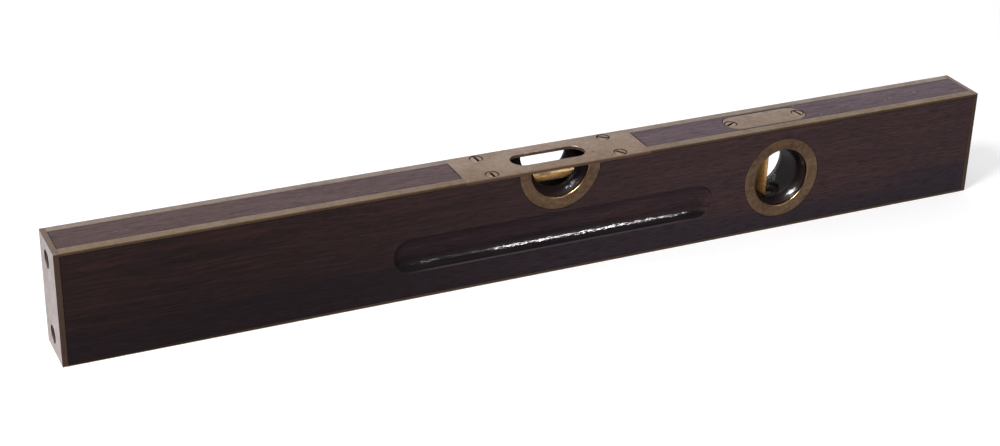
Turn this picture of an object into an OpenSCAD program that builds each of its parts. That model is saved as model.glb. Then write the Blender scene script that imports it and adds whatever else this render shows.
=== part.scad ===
// Brass bound plumb and level: a hardwood stock with brass let in flush on every edge,
// a level vial under the top plate and a plumb vial across the round sight hole.
// The origin is at the middle of the base, X runs along the length, Y from front to back, Z up.
// All sizes are in millimetres.

/* [Body] */
// Length over the end plates
body_l = 457.2; // [444:0.1:620]
// Width from the front face to the back face
body_w = 25.4; // [25:0.1:30]
// Height from the base to the top face
body_h = 53; // [52.4:0.1:60]

/* [Brass edge strips] */
// Width of a strip on the top and bottom faces
strip_w = 4.6; // [3.6:0.1:5]
// Thickness of a strip, as the line it draws on the front and back faces
strip_t = 1.4; // [1:0.1:1.6]

/* [End plates] */
// Thickness of an end plate
end_plate_t = 2.5; // [2:0.1:3.5]
// Height of each end screw above or below mid height
end_screw_rise = 17.75; // [14:0.25:19]
// Distance of the end screws behind the centre line
end_screw_back = 1.2; // [0:0.1:2]
// Head radius of an end screw
end_screw_head_r = 3.8; // [3.2:0.1:4.2]

/* [Top plate over the level vial] */
// Length of the top plate
top_plate_l = 92; // [91:0.1:98]
// Thickness of the top plate
top_plate_t = 1.6; // [1.4:0.1:2.2]
// Length of the sight slot
slot_l = 36.3; // [26:0.1:38]
// Width of the sight slot
slot_w = 11.6; // [8:0.1:12.4]
// Distance of the plate screws from the plate's ends
plate_screw_inset = 13.9; // [13:0.1:14.2]
// Distance of the plate screws from the centre line
plate_screw_y = 8.8; // [8.4:0.1:9]
// Head radius of a plate screw
plate_screw_head_r = 3.05; // [2.6:0.05:3.2]

/* [Sight openings] */
// Depth of the level window's centre below the top face
window_drop = 1; // [0.5:0.1:2]
// Distance of the plumb hole's centre from the right end
plumb_inset = 110.5; // [100:0.1:112]
// Outer radius of a sight ring
ring_r = 20.1; // [18.5:0.1:20.4]
// Inner radius of a sight ring
ring_inner_r = 14.3; // [13.6:0.1:15]
// Thickness of a sight ring
ring_t = 1.5; // [1.2:0.1:2]
// Rounding of a ring's inner edge
ring_lip = 1; // [0.6:0.1:1.1]
// Radius of the level window's throat at the mortise
window_throat_r = 11.4; // [10:0.1:12.4]
// Radius of the plumb hole between its two flares
plumb_throat_r = 12; // [11:0.1:13.2]

/* [Finger grooves] */
// Length of a groove on the face
groove_l = 161; // [120:1:164]
// Height of a groove on the face
groove_h = 16.8; // [12:0.1:17.4]
// Depth of a groove at its middle
groove_d = 4.6; // [2:0.1:5.2]
// Height of the groove's centre above the base
groove_z = 21.6; // [18:0.1:22]

/* [Plumb cover plate] */
// Length of the cover plate
cover_l = 43.4; // [43:0.1:47]
// Width of the cover plate
cover_w = 14.3; // [14:0.1:15]
// Distance of the plate's centre towards the middle of the level from the hole's centre
cover_shift = 4.3; // [3.8:0.1:4.6]
// Distance of the cover screws from the plate's ends
cover_screw_inset = 3.3; // [3.1:0.1:3.6]
// Head radius of a cover screw
cover_screw_head_r = 3; // [2.4:0.05:3]

/* [Vials and their cases] */
// Outer radius of the level vial's brass case
case_r = 4.8; // [4.5:0.05:4.85]
// Outer radius of the plumb vial's brass case, a wider tube for the same vial
plumb_case_r = 5.8; // [5.4:0.05:6]
// Wall of a vial case
case_wall = 0.45; // [0.35:0.05:0.5]
// Gap between the glass and the level case, filled with plaster at the ends
bed_gap = 0.25; // [0.15:0.05:0.35]
// Wall of a vial
glass_wall = 0.8; // [0.6:0.05:1]
// Radius of the curve along which a bubble rises
crown_r = 2000; // [1500:50:4000]
// Length of the level vial case
level_case_l = 66; // [62:0.5:68]
// Distance of the level vial's axis below the top plate
level_vial_drop = 5.6; // [5.5:0.1:6.5]
// Length of the level vial's open trough
level_window_l = 45; // [40:0.5:48]
// Distance of the plumb vial's axis from the hole's centre
plumb_vial_shift = 0; // [-0.3:0.1:1]
// Depth of the plumb trough, from its back to its cut edges
plumb_trough_d = 2.6; // [2:0.1:4.6]
// Length of a bubble
bubble_l = 10; // [7:0.5:13]

/* [Adjusters] */
// Thickness of the brackets that carry the vial cases
bracket_t = 1; // [0.9:0.1:1.2]
// Distance from the level's hinge pin to its adjusting screw
level_arm = 80; // [78:0.1:81]
// Distance from the plumb's pivot pin to its adjusting screw
plumb_arm = 11.5; // [11:0.1:12]
// Radius of a hinge pin
pin_r = 1; // [0.7:0.05:1.2]
// Radius of an adjusting screw's thread
adjuster_r = 1.2; // [1:0.05:1.4]
// Wire thickness of an adjuster spring
spring_wire = 0.5; // [0.3:0.05:0.55]

/* [Hidden] */
$fn = 96;

// Clearances: let-in brass, running fits, cuts that pass right through, and tucked-in joints
let_in = 0.03;
running = 0.05;
through = 1;
tuck = 0.2;

// Colours
wood = [0.2, 0.12, 0.11];
old_brass = [0.6, 0.52, 0.4];
bright_brass = [0.75, 0.56, 0.26];
dark_brass = [0.42, 0.35, 0.25];
plaster = [0.85, 0.82, 0.74];

half_l = body_l / 2;
half_w = body_w / 2;
half_plate = top_plate_l / 2;
plate_under = body_h - top_plate_t;
bracket_under = plate_under - bracket_t;
wood_half_l = half_l - end_plate_t;
window_z = body_h - window_drop;
plumb_x = half_l - plumb_inset;
plumb_z = body_h / 2;
cover_x = plumb_x - cover_shift;

// Screws as [head radius, head height, shank radius, length, slot width, slot depth]
end_screw = [end_screw_head_r, 2.3, 2, 22, 1, 1];
plate_screw = [plate_screw_head_r, 1.8, 1.55, 14, 0.8, 0.8];
cover_screw = [cover_screw_head_r, 1.8, 1.5, 12, 0.8, 0.8];
bracket_screw = [1.6, 0.85, 0.8, 7, 0.45, 0.4];

// Vials, their cases and the parts that hold them, with the room left round these in the stock
case_room = 1.2;
plumb_case_room = 0.9;
arm_room = 0.6;
ear_room = 0.3;
case_inner_r = case_r - case_wall;
glass_r = case_inner_r - bed_gap;
cavity_r = glass_r - glass_wall;
mortise_past = 4.6;
case_end_t = 1.2;
bed_t = 1.3;
bed_grip = 5;
glass_round = 1.6;
cavity_round = 1.2;
mortise_half_w = case_r + case_room;
throat_depth = half_w - mortise_half_w;
level_vial_z = plate_under - level_vial_drop;
mortise_floor = level_vial_z - case_r - case_room;
mortise_half_l = level_arm / 2 + mortise_past;

tongue_r = 2.2;
tongue_w = 6;
ear_t = 1;
ear_side = 0.1;
ear_r = 2.6;
flange_t = 2;
flange_w = 7.2;
bracket_half_w = 10;
bracket_before = 4;
bracket_past = 5;
bracket_inner = level_arm / 2 - bracket_before;
bracket_outer = level_arm / 2 + bracket_past;
bracket_screw_in = 1.9;
bracket_screw_y = mortise_half_w + bracket_screw_in;

plumb_vial_x = plumb_x + plumb_vial_shift;
plumb_pivot_drop = 4;
plumb_pivot_z = bracket_under - plumb_pivot_drop;
plumb_case_half = plumb_pivot_z - ear_r - ear_room - plumb_z;
plumb_window_past = 1;
plumb_window_half = plumb_throat_r + plumb_window_past;
plumb_bore_r = plumb_case_r + plumb_case_room;
plumb_bore_floor = plumb_z - plumb_case_half - case_room;
plumb_arm_t = 2;
plumb_slot_half_w = tongue_w / 2 + arm_room;
plumb_bracket_end_gap = 3.2;
plumb_bracket_side_gap = 1.5;
plumb_bracket_half_l = cover_l / 2 - cover_screw_inset - plumb_bracket_end_gap;
plumb_bracket_half_w = cover_w / 2 - plumb_bracket_side_gap;
plumb_bracket_screw_in = 1.9;
plumb_bracket_screw_x = plumb_bracket_half_l - plumb_bracket_screw_in;

// Screws: rim of the head, share of the length left plain, and the thinner core past it
head_rim = 0.25;
plain_share = 0.45;
core_share = 0.8;
core_step = 0.5;
tip_share = 1.5;

// Adjusting screw: head, slot, cut of the tip, and how far the thread passes its nut
adjuster_head_r = 2.1;
adjuster_head_h = 0.85;
adjuster_rim = 0.2;
adjuster_slot_w = 0.5;
adjuster_slot_d = 0.45;
adjuster_tip_cut = 0.4;
adjuster_past = 1.3;

// Spring round an adjusting screw
spring_slack = 0.65;
spring_r = adjuster_r + spring_slack + spring_wire / 2;
level_spring_turns = 3;
plumb_spring_turns = 2.5;
spring_sides = 6;
spring_rings = 8;
spring_seat = 0.04;

// Bubble: floor of the channel in the spirit, the bubble's width, and its clearances
channel = 0.25 * cavity_r;
bubble_half_w = 0.75 * cavity_r;
bubble_gap = 0.15;
bubble_crown_gap = 0.3;
bubble_end_gap = 1.4;
bubble_floor = channel + bubble_gap;
bubble_top = cavity_r - bubble_crown_gap;
plumb_bubble_top = plumb_case_half - case_end_t - bed_t - glass_wall - bubble_end_gap;

// Outline points of a quarter turn, from angle a to b, about [x, y]
function arc(x, y, r, a, b, steps = 6) =
    [for (i = [0:steps]) let (t = a + (b - a) * i / steps) [x + r * cos(t), y + r * sin(t)]];

module along_y(x, z) translate([x, 0, z]) rotate([90, 0, 0]) children();

// Stock

// A flared sight opening, bell shaped from each face to radius r between the flares
module throat(r) {
    flare_steps = 6;
    flare = [for (i = [0:flare_steps])
        let (t = i / flare_steps)
        [r + (ring_inner_r - r) * pow(1 - t, 2),
            half_w - ring_t - t * (throat_depth - ring_t)]];
    rotate_extrude() polygon(concat(
        [[0, half_w + through], [ring_inner_r, half_w + through]], flare,
        [for (i = [flare_steps:-1:0]) [flare[i].x, -flare[i].y]],
        [[ring_inner_r, -half_w - through], [0, -half_w - through]]));
}

module ring_recesses() {
    for (side = [-1, 1])
        translate([0, 0, side * (half_w - ring_t / 2 + through / 2)])
            cylinder(r = ring_r + let_in, h = ring_t + through, center = true);
}

// A long dished groove: a round bar with ball ends, sunk into the face
module finger_groove() {
    reach = groove_h / 2;
    bar_r = (reach * reach + groove_d * groove_d) / (2 * groove_d);
    run = groove_l / 2 - reach;
    translate([0, -half_w + groove_d - bar_r, groove_z]) {
        rotate([0, 90, 0]) cylinder(r = bar_r, h = 2 * run, center = true);
        for (end = [-run, run]) translate([end, 0, 0]) sphere(r = bar_r);
    }
}

module strip_rebates() {
    for (side = [-1, 1], top = [0, 1])
        translate([-half_l, side > 0 ? half_w - strip_w : -half_w - through,
                top ? body_h - strip_t : -through])
            cube([body_l, strip_w + through, strip_t + through]);
}

module rounded_plate(l, w, h) {
    translate([0, 0, -h]) {
        translate([-(l - w) / 2, -w / 2, 0]) cube([l - w, w, h]);
        for (side = [-1, 1]) translate([side * (l - w) / 2, 0, 0]) cylinder(d = w, h = h);
    }
}

module level_pocket() {
    translate([-half_plate, -half_w - through, plate_under])
        cube([top_plate_l, body_w + 2 * through, top_plate_t + through]);
    translate([-mortise_half_l, -mortise_half_w, mortise_floor])
        cube([2 * mortise_half_l, 2 * mortise_half_w, body_h]);
    for (side = [0, 1]) mirror([side, 0, 0])
        translate([bracket_inner - let_in, -bracket_half_w - let_in, bracket_under])
            cube([bracket_outer - bracket_inner + 2 * let_in, 2 * (bracket_half_w + let_in), body_h]);
    along_y(0, window_z) throat(window_throat_r);
    along_y(0, window_z) ring_recesses();
}

module plumb_pocket() {
    arm_reach = plumb_arm + tongue_w / 2 + arm_room;
    arm_floor = plumb_pivot_z - plumb_arm_t / 2 - adjuster_past - arm_room;
    translate([cover_x, 0, body_h + through])
        rounded_plate(cover_l + 2 * let_in, cover_w + 2 * let_in, top_plate_t + through);
    translate([cover_x - plumb_bracket_half_l - let_in, -plumb_bracket_half_w - let_in, bracket_under])
        cube([2 * (plumb_bracket_half_l + let_in), 2 * (plumb_bracket_half_w + let_in), body_h]);
    translate([plumb_vial_x - arm_reach, -plumb_slot_half_w, arm_floor])
        cube([arm_reach, 2 * plumb_slot_half_w, body_h]);
    translate([plumb_vial_x, 0, plumb_bore_floor]) cylinder(r = plumb_bore_r, h = body_h);
    along_y(plumb_x, plumb_z) throat(plumb_throat_r);
    along_y(plumb_x, plumb_z) ring_recesses();
}

module stock() {
    color(wood) difference() {
        translate([-wood_half_l, -half_w, 0]) cube([2 * wood_half_l, body_w, body_h]);
        strip_rebates();
        for (side = [0, 1]) mirror([0, side, 0]) finger_groove();
        level_pocket();
        plumb_pocket();
        end_screw_places() screw_room(end_screw);
        plate_screw_places() screw_room(plate_screw);
        cover_screw_places() screw_room(cover_screw);
        level_bracket_screw_places() screw_room(bracket_screw);
        plumb_bracket_screw_places() screw_room(bracket_screw);
    }
}

// Brass on the outside

module top_strip(side_x, side_y) {
    l = wood_half_l - half_plate;
    color(old_brass)
        translate([side_x > 0 ? half_plate : -half_plate - l,
                side_y > 0 ? half_w - strip_w : -half_w, body_h - strip_t])
            cube([l, strip_w, strip_t]);
}

module top_strip_front_left() top_strip(-1, -1);
module top_strip_front_right() top_strip(1, -1);
module top_strip_back_left() top_strip(-1, 1);
module top_strip_back_right() top_strip(1, 1);

module bottom_strip(y) {
    color(old_brass) translate([-wood_half_l, y, 0]) cube([2 * wood_half_l, strip_w, strip_t]);
}

module bottom_strip_front() bottom_strip(-half_w);
module bottom_strip_back() bottom_strip(half_w - strip_w);

module end_plate(side) {
    color(old_brass) difference() {
        translate([side > 0 ? wood_half_l : -half_l, -half_w, 0]) cube([end_plate_t, body_w, body_h]);
        end_screw_places() screw_room(end_screw);
    }
}

module left_end_plate() end_plate(-1);
module right_end_plate() end_plate(1);

module level_top_plate() {
    color(old_brass) difference() {
        translate([-half_plate, -half_w, plate_under]) cube([top_plate_l, body_w, top_plate_t]);
        translate([0, 0, body_h + through]) rounded_plate(slot_l, slot_w, top_plate_t + 2 * through);
        plate_screw_places() screw_room(plate_screw);
    }
}

module plumb_cover_plate() {
    color(old_brass) difference() {
        translate([cover_x, 0, body_h]) rounded_plate(cover_l, cover_w, top_plate_t);
        cover_screw_places() screw_room(cover_screw);
    }
}

// A ring with a rounded inner edge, its face at z = 0
module sight_ring() {
    rotate_extrude() polygon(concat(
        [[ring_r, 0], [ring_r, -ring_t], [ring_inner_r, -ring_t]],
        arc(ring_inner_r + ring_lip, -ring_lip, ring_lip, 180, 90)));
}

module window_ring(side) {
    color(dark_brass) difference() {
        translate([0, side * half_w, window_z]) rotate([side > 0 ? -90 : 90, 0, 0]) sight_ring();
        translate([-body_l / 2, -body_w, plate_under]) cube([body_l, 2 * body_w, body_h]);
    }
}

module plumb_ring(side) {
    color(dark_brass)
        translate([plumb_x, side * half_w, plumb_z]) rotate([side > 0 ? -90 : 90, 0, 0]) sight_ring();
}

module window_ring_front() window_ring(-1);
module window_ring_back() window_ring(1);
module plumb_ring_front() plumb_ring(-1);
module plumb_ring_back() plumb_ring(1);

// Screws, each with its head's face at z = 0

function screw_outline(screw, gap) =
    let (r = screw[2] + gap, core = core_share * screw[2] + gap, l = screw[3], plain = plain_share * l)
    [[0, gap], [screw[0] + gap, gap], [screw[0] + gap, -head_rim], [r, -screw[1]], [r, -plain],
        [core, -plain - core_step], [core, -l + tip_share * screw[2]], [0, -l - gap]];

module wood_screw(screw, turn) {
    difference() {
        rotate_extrude() polygon(screw_outline(screw, 0));
        rotate([0, 0, turn]) translate([0, 0, -screw[5] / 2 + tuck / 2])
            cube([3 * screw[0], screw[4], screw[5] + tuck], center = true);
    }
}

module screw_room(screw) rotate_extrude() polygon(screw_outline(screw, let_in));

module end_screw_places() {
    for (side = [-1, 1], rise = [-1, 1])
        translate([side * half_l, end_screw_back, plumb_z + rise * end_screw_rise])
            rotate([0, side * 90, 0]) children();
}

plate_screw_x = half_plate - plate_screw_inset;
plate_screw_seats = [[-1, -1, -88], [-1, 1, -87], [1, -1, -56], [1, 1, -36]];
module plate_screw_places(only = [0:3]) {
    for (i = only) translate([plate_screw_seats[i].x * plate_screw_x,
                plate_screw_seats[i].y * plate_screw_y, body_h]) children();
}

cover_screw_seats = [[-1, 27], [1, -79]];
module cover_screw_places(only = [0:1]) {
    for (i = only) translate([cover_x + cover_screw_seats[i].x * (cover_l / 2 - cover_screw_inset),
                0, body_h]) children();
}

module level_bracket_screw_places() {
    for (x = [-1, 1], y = [-1, 1])
        translate([x * level_arm / 2, y * bracket_screw_y, plate_under - let_in]) children();
}

module plumb_bracket_screw_places() {
    for (x = [-1, 1])
        translate([cover_x + x * plumb_bracket_screw_x, 0, plate_under - let_in]) children();
}

module end_plate_screws() color(dark_brass) end_screw_places() wood_screw(end_screw, 20);

module top_plate_screws() {
    color(dark_brass) for (i = [0:3]) plate_screw_places([i])
        wood_screw(plate_screw, plate_screw_seats[i].z);
}

module plumb_cover_screws() {
    color(dark_brass) for (i = [0:1]) cover_screw_places([i])
        wood_screw(cover_screw, cover_screw_seats[i].y);
}

module level_bracket_screws() color(bright_brass) level_bracket_screw_places() wood_screw(bracket_screw, 35);
module plumb_bracket_screws() color(bright_brass) plumb_bracket_screw_places() wood_screw(bracket_screw, 65);

// Brackets that carry the vial cases

// Two ears that hang from z = 0 round a pin at a depth
module pin_ears(depth) {
    for (side = [-1, 1]) difference() {
        translate([0, side * (tongue_w / 2 + ear_side + ear_t / 2), 0]) {
            translate([0, 0, -depth]) rotate([90, 0, 0]) cylinder(r = ear_r, h = ear_t, center = true);
            translate([-ear_r, -ear_t / 2, -depth]) cube([2 * ear_r, ear_t, depth + tuck]);
        }
        translate([0, 0, -depth]) rotate([90, 0, 0])
            cylinder(r = pin_r + let_in, h = body_w, center = true);
    }
}

module adjuster_hole(x) {
    translate([x, 0, plate_under]) rotate_extrude() polygon([[0, through],
        [adjuster_head_r + running, through], [adjuster_head_r + running, -adjuster_rim],
        [adjuster_r + running, -adjuster_head_h], [adjuster_r + running, -bracket_t - through],
        [0, -bracket_t - through]]);
}

module level_bracket_plate() {
    translate([bracket_inner, -bracket_half_w, bracket_under])
        cube([bracket_outer - bracket_inner, 2 * bracket_half_w, bracket_t]);
}

module level_hinge_bracket() {
    color(bright_brass) difference() {
        union() {
            mirror([1, 0, 0]) level_bracket_plate();
            translate([-level_arm / 2, 0, bracket_under]) pin_ears(bracket_under - level_vial_z);
        }
        level_bracket_screw_places() screw_room(bracket_screw);
    }
}

module level_adjuster_bracket() {
    color(bright_brass) difference() {
        level_bracket_plate();
        adjuster_hole(level_arm / 2);
        level_bracket_screw_places() screw_room(bracket_screw);
    }
}

module plumb_bracket() {
    color(bright_brass) difference() {
        union() {
            translate([cover_x - plumb_bracket_half_l, -plumb_bracket_half_w, bracket_under])
                cube([2 * plumb_bracket_half_l, 2 * plumb_bracket_half_w, bracket_t]);
            translate([plumb_vial_x, 0, bracket_under]) pin_ears(bracket_under - plumb_pivot_z);
        }
        adjuster_hole(plumb_vial_x - plumb_arm);
        plumb_bracket_screw_places() screw_room(bracket_screw);
    }
}

module hinge_pin(x, z) {
    color(old_brass) along_y(x, z)
        cylinder(r = pin_r, h = tongue_w + 2 * (ear_side + ear_t), center = true);
}

module level_hinge_pin() hinge_pin(-level_arm / 2, level_vial_z);
module plumb_pivot_pin() hinge_pin(plumb_vial_x, plumb_pivot_z);

// Adjusting screw, its head sunk in a bracket and its end past the nut
module adjusting_screw(x, nut_under) {
    drop = plate_under - nut_under + adjuster_past;
    color(old_brass) translate([x, 0, plate_under]) difference() {
        rotate_extrude() polygon([[0, -let_in], [adjuster_head_r, -let_in],
            [adjuster_head_r, -adjuster_rim - let_in], [adjuster_r, -adjuster_head_h - let_in],
            [adjuster_r, -drop + adjuster_tip_cut], [adjuster_r - adjuster_tip_cut, -drop], [0, -drop]]);
        rotate([0, 0, 40])
            cube([3 * adjuster_head_r, adjuster_slot_w, 2 * adjuster_slot_d], center = true);
    }
}

module level_adjusting_screw() adjusting_screw(level_arm / 2, level_vial_z - flange_t / 2);
module plumb_adjusting_screw() adjusting_screw(plumb_vial_x - plumb_arm, plumb_pivot_z - plumb_arm_t / 2);

// Coil spring round an adjusting screw, from z = low to z = high
function spring_point(i, k, low, pitch) =
    let (turn = 360 * i / spring_rings, side = 360 * k / spring_sides,
        r = spring_r + spring_wire / 2 * cos(side))
    [r * cos(turn), r * sin(turn),
        low + spring_seat + spring_wire / 2 * (1 + sin(side)) + pitch * turn / 360];

module adjuster_spring(x, low, high, turns) {
    pitch = (high - low - spring_wire - 2 * spring_seat) / turns;
    last = turns * spring_rings;
    ends = [[for (k = [spring_sides - 1:-1:0]) k],
        [for (k = [0:spring_sides - 1]) last * spring_sides + k]];
    skin = [for (i = [0:last - 1], k = [0:spring_sides - 1], half = [0, 1])
        let (a = i * spring_sides + k, b = i * spring_sides + (k + 1) % spring_sides)
        half ? [a, b + spring_sides, a + spring_sides] : [a, b, b + spring_sides]];
    caps = [for (cap = ends, k = [1:spring_sides - 2]) [cap[0], cap[k], cap[k + 1]]];
    echo("spring least gap to itself", pitch - spring_wire);
    color(old_brass) translate([x, 0, 0]) polyhedron(
        points = [for (i = [0:last], k = [0:spring_sides - 1]) spring_point(i, k, low, pitch)],
        faces = concat(skin, caps));
}

module level_adjusting_spring()
    adjuster_spring(level_arm / 2, level_vial_z + flange_t / 2, bracket_under, level_spring_turns);
module plumb_adjusting_spring()
    adjuster_spring(plumb_vial_x - plumb_arm, plumb_pivot_z + plumb_arm_t / 2, bracket_under,
        plumb_spring_turns);

// Vials, along Z with the bubble side towards +X

// Case: a closed tube, cut down to a trough between its two ends
module case_tube(r, half, window_half, cut_x) {
    difference() {
        cylinder(r = r, h = 2 * half, center = true);
        cylinder(r = r - case_wall, h = 2 * (half - case_end_t), center = true);
        translate([cut_x, -2 * r, -window_half]) cube([3 * r, 4 * r, 2 * window_half]);
    }
}

// Inside of a vial: a barrel that is widest at its middle, shrunk by a gap
function barrel(half, gap) = let (end = half - gap, round_r = cavity_round, steps = 8)
    concat([for (i = [-steps:steps]) let (z = i / steps * (end - round_r))
            [cavity_r - gap - z * z / (2 * crown_r), z]],
        arc(cavity_r - gap - pow(end - round_r, 2) / (2 * crown_r) - round_r, end - round_r,
            round_r, 15, 90, 5));

module barrel_solid(half, gap) {
    side = barrel(half, gap);
    upper = [for (p = side) if (p.y >= 0) p];
    lower = [for (i = [len(upper) - 1:-1:1]) [upper[i].x, -upper[i].y]];
    rotate_extrude() polygon(concat([[0, -half + gap]], lower, upper, [[0, half - gap]]));
}

module vial_glass(half) {
    difference() {
        rotate_extrude() polygon(concat([[0, -half]],
            arc(glass_r - glass_round, -half + glass_round, glass_round, -90, 0),
            arc(glass_r - glass_round, half - glass_round, glass_round, 0, 90), [[0, half]]));
        barrel_solid(half - glass_wall, 0);
    }
}

// Plaster cups that hold both ends of a vial in its case, whose inside has radius r
module bedding(r, glass_half) {
    gap = bed_gap / 8;
    for (end = [0, 1]) mirror([0, 0, end]) difference() {
        translate([0, 0, glass_half - bed_grip])
            cylinder(r = r - gap, h = bed_grip + bed_t - gap);
        translate([0, 0, glass_half - bed_grip - through])
            cylinder(r = glass_r + gap, h = bed_grip + through + gap);
    }
}

// Spirit, with the room along its upper side that the bubble keeps
module spirit(glass_half) {
    difference() {
        barrel_solid(glass_half - glass_wall, let_in);
        translate([channel, -cavity_r, -body_l / 2]) cube([body_l, 2 * cavity_r, body_l]);
    }
}

// Bubble: flat below, round above, with rounded ends
module bubble() {
    intersection() {
        cylinder(r = bubble_top, h = 2 * bubble_l, center = true);
        translate([bubble_top + bubble_floor, 0, 0]) rotate([0, 90, 0])
            rounded_plate(bubble_l, 2 * bubble_half_w, bubble_top);
    }
}

module level_pose() translate([0, 0, level_vial_z]) rotate([0, -90, 0]) children();
module plumb_pose() translate([plumb_vial_x, 0, plumb_z]) children();

level_glass_half = level_case_l / 2 - case_end_t - bed_t;
plumb_glass_half = plumb_case_half - case_end_t - bed_t;

module pin_bore() rotate([90, 0, 0]) cylinder(r = pin_r + running, h = body_w, center = true);

// A tongue with a round end about the pin, reaching along +X
module pin_tongue(reach) {
    difference() {
        union() {
            rotate([90, 0, 0]) cylinder(r = tongue_r, h = tongue_w, center = true);
            translate([0, -tongue_w / 2, -tongue_r]) cube([reach, tongue_w, 2 * tongue_r]);
        }
        pin_bore();
    }
}

// A flat arm along X from the origin, with a round end about the adjusting screw at x = reach
module nut_arm(reach, w, t) {
    difference() {
        union() {
            translate([min(0, reach), -w / 2, -t / 2]) cube([abs(reach), w, t]);
            translate([reach, 0, 0]) cylinder(r = w / 2, h = t, center = true);
        }
        translate([reach, 0, 0]) cylinder(r = adjuster_r + running, h = 2 * t, center = true);
    }
}

module level_vial_case() {
    shoulder = level_case_l / 2 - case_end_t / 2;
    color(bright_brass) {
        level_pose() case_tube(case_r, level_case_l / 2, level_window_l / 2, 0);
        translate([-level_arm / 2, 0, level_vial_z]) pin_tongue(level_arm / 2 - shoulder);
        translate([shoulder, 0, level_vial_z]) nut_arm(level_arm / 2 - shoulder, flange_w, flange_t);
    }
}

module plumb_vial_case() {
    top = plumb_case_half - case_end_t / 2;
    color(bright_brass) {
        plumb_pose()
            case_tube(plumb_case_r, plumb_case_half, plumb_window_half, plumb_trough_d - plumb_case_r);
        translate([plumb_vial_x, 0, plumb_pivot_z]) difference() {
            union() {
                rotate([0, 90, 0]) pin_tongue(plumb_pivot_z - plumb_z - top);
                nut_arm(-plumb_arm, tongue_w, plumb_arm_t);
            }
            pin_bore();
        }
    }
}

module level_vial_glass() color("lightcyan", 0.4) level_pose() vial_glass(level_glass_half);
module level_vial_bedding() color(plaster) level_pose() bedding(case_inner_r, level_glass_half);
module level_spirit() color("khaki", 0.5) level_pose() spirit(level_glass_half);
module level_bubble() color("white", 0.6) level_pose() bubble();

module plumb_vial_glass() color("lightcyan", 0.4) plumb_pose() vial_glass(plumb_glass_half);
module plumb_vial_bedding() color(plaster) plumb_pose() bedding(plumb_case_r - case_wall, plumb_glass_half);
module plumb_spirit() color("khaki", 0.5) plumb_pose() spirit(plumb_glass_half);
module plumb_bubble()
    color("white", 0.6) plumb_pose() translate([0, 0, plumb_bubble_top - bubble_l / 2]) bubble();

stock();
top_strip_front_left();
top_strip_front_right();
top_strip_back_left();
top_strip_back_right();
bottom_strip_front();
bottom_strip_back();
left_end_plate();
right_end_plate();
end_plate_screws();
level_top_plate();
top_plate_screws();
window_ring_front();
window_ring_back();
plumb_ring_front();
plumb_ring_back();
plumb_cover_plate();
plumb_cover_screws();
level_hinge_bracket();
level_adjuster_bracket();
level_bracket_screws();
level_hinge_pin();
level_adjusting_screw();
level_adjusting_spring();
level_vial_case();
level_vial_glass();
level_vial_bedding();
level_spirit();
level_bubble();
plumb_bracket();
plumb_bracket_screws();
plumb_pivot_pin();
plumb_adjusting_screw();
plumb_adjusting_spring();
plumb_vial_case();
plumb_vial_glass();
plumb_vial_bedding();
plumb_spirit();
plumb_bubble();
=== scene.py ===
# Plumb and level: wood, brass, glass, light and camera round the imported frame.
# Meshes are drawn in millimetres, and asPiece brings them to the frame's metres.
import math

import bmesh
import bpy
from mathutils import Matrix, Vector


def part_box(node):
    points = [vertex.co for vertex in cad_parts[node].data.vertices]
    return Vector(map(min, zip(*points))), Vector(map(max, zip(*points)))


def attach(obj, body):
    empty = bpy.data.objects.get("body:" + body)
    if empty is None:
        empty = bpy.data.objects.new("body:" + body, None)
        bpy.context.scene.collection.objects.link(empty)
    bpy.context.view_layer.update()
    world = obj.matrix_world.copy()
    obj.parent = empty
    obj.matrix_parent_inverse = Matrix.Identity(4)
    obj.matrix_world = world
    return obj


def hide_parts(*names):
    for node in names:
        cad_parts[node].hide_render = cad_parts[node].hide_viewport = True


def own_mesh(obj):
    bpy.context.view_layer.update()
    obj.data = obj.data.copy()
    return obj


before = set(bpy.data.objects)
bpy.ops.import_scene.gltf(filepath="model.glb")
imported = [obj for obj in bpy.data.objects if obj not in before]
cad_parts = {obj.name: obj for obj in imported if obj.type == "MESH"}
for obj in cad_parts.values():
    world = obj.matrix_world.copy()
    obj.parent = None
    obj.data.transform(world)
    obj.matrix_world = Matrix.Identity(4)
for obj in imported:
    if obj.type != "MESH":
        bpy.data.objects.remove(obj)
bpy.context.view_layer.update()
mm = 0.001
print("frame loaded,", len(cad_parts), "nodes")


# Mesh helpers

def asPiece(bm, name):
    bmesh.ops.scale(bm, vec=(mm, mm, mm), verts=bm.verts)
    mesh = bpy.data.meshes.new(name)
    bm.to_mesh(mesh)
    bm.free()
    piece = bpy.data.objects.new(name, mesh)
    bpy.context.scene.collection.objects.link(piece)
    return piece


def slide(bm, vec, verts=None):
    bmesh.ops.translate(bm, vec=vec, verts=verts or bm.verts)


def faceOut(bm):
    bmesh.ops.recalc_face_normals(bm, faces=bm.faces)


def block(low, high):
    bm = bmesh.new()
    bmesh.ops.create_cube(bm, size=1)
    bmesh.ops.scale(bm, vec=Vector(high) - Vector(low), verts=bm.verts)
    slide(bm, (Vector(high) + Vector(low)) / 2)
    return bm


def nodeBlock(node):
    low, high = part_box(node)
    return block(low / mm, high / mm)


def bar(fromX, toX, halfWide, low, high):
    return block((fromX, -halfWide, low), (toX, halfWide, high))


def turned(profile, steps=96, closed=False):
    # profile holds (radius, height) points, spun about Z
    bm = bmesh.new()
    verts = [bm.verts.new((radius, 0, height)) for radius, height in profile]
    ends = verts[1:] + verts[:1] if closed else verts[1:]
    edges = [bm.edges.new(pair) for pair in zip(verts, ends)]
    bmesh.ops.spin(bm, geom=verts + edges, cent=(0, 0, 0), axis=(0, 0, 1),
                   angle=math.tau, steps=steps, use_merge=True)
    bmesh.ops.remove_doubles(bm, verts=bm.verts, dist=1e-5)
    faceOut(bm)
    return bm


def rod(radius, low, high, steps):
    return turned([(0, low), (radius, low), (radius, high), (0, high)], steps)


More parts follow.
